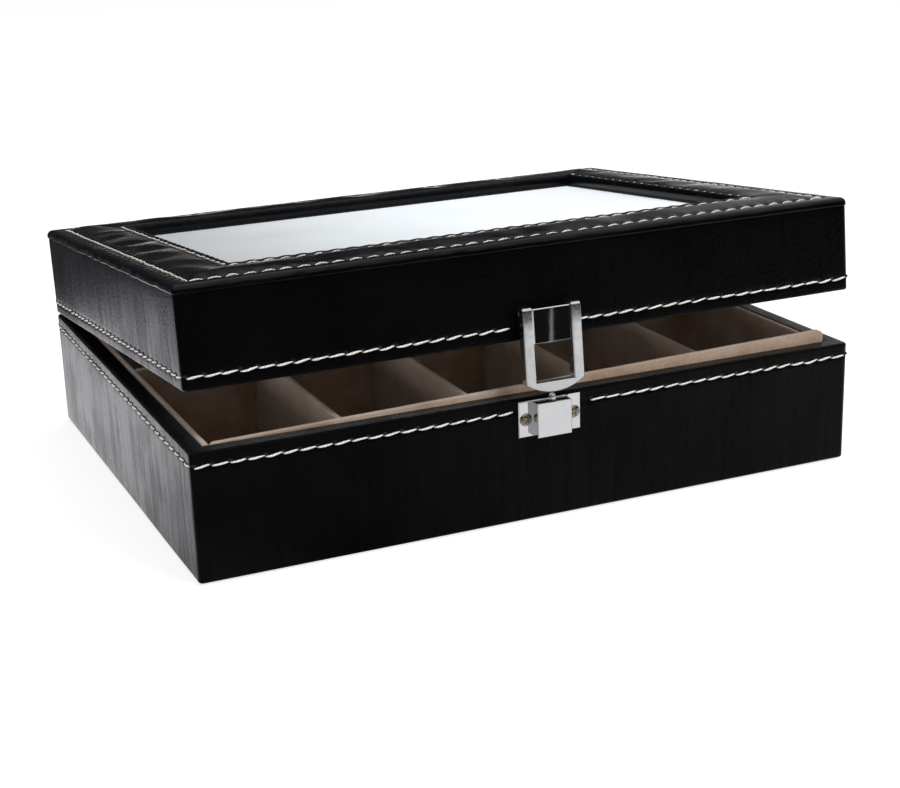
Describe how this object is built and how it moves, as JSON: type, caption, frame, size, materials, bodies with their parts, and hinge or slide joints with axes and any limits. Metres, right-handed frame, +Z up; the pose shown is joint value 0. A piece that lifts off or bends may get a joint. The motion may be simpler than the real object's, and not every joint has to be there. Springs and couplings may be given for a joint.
{
  "type": "watch box",
  "caption": "Rectangular leathered display box with velvet compartments, a hinged padded lid with a glass window and a front hasp that snaps over a ball catch.",
  "frame": {"origin": "the middle of the underside, on the felt that the box stands on", "axes": "+X along the front to the right as seen from the front, +Y to the hinges, +Z up"},
  "size_m": [0.2608, 0.2104, 0.1026],
  "materials": {
    "leather": "grained, satin",
    "padded_leather": "soft grained, satin",
    "wall_board": "raw",
    "pad_card": "matt",
    "velvet": "short pile",
    "felt": "felted",
    "rim_board": "black painted",
    "gasket": "matt",
    "glass": "polished",
    "chrome": "polished",
    "spring_steel": "drawn wire"
  },
  "bodies": {
    "base": {"base_cover": "leather", "base_front_wall": "wall_board", "base_rear_wall": "wall_board", "base_left_wall": "wall_board", "base_right_wall": "wall_board", "base_floor": "wall_board", "underside_felt": "felt", "floor_lining": "velvet", "left_lining": "velvet", "right_lining": "velvet", "rear_lining": "velvet", "front_board": "velvet", "divider_1": "velvet", "divider_2": "velvet", "divider_3": "velvet", "divider_4": "velvet", "cross_divider": "velvet", "left_hinge_base_leaf": "chrome", "right_hinge_base_leaf": "chrome", "left_hinge_pin": "chrome", "right_hinge_pin": "chrome", "hinge_base_tacks": "chrome", "catch_plate": "chrome", "catch_block": "chrome", "catch_spring": "spring_steel", "catch_screws": "chrome"},
    "ball": {"catch_ball": "chrome"},
    "lid": {"lid_cover": "leather", "lid_front_wall": "wall_board", "lid_rear_wall": "wall_board", "lid_left_wall": "wall_board", "lid_right_wall": "wall_board", "glass_spacer": "rim_board", "glass_pane": "glass", "glass_gasket": "gasket", "lid_inner_frame": "rim_board", "lid_left_lining": "felt", "lid_right_lining": "felt", "lid_front_lining": "felt", "lid_rear_lining": "felt", "pad_board": "pad_card", "padded_frame": "padded_leather", "left_hinge_lid_leaf": "chrome", "right_hinge_lid_leaf": "chrome", "hinge_lid_tacks": "chrome", "lid_bracket": "chrome"},
    "hasp": {"hasp": "chrome", "hasp_pin": "chrome"}
  },
  "joints": [
    {"name": "lid_hinge", "type": "hinge", "parent": "base", "child": "lid", "pos_m": [0, 0.10175, 0.04715], "axis": [-1, 0, 0], "range_deg": [-5.8, 94.2]},
    {"name": "hasp_hinge", "type": "hinge", "parent": "lid", "child": "hasp", "pos_m": [0.0015, -0.10093, 0.07785], "axis": [-1, 0, 0], "range_deg": [0, 165]},
    {"name": "ball_press", "type": "slide", "parent": "base", "child": "ball", "axis": [0, 0, -1], "range_m": [0, 0.0012], "stiffness_N_per_m": 1200, "springref_m": -0.0008, "deforming": ["catch_spring"]}
  ]
}
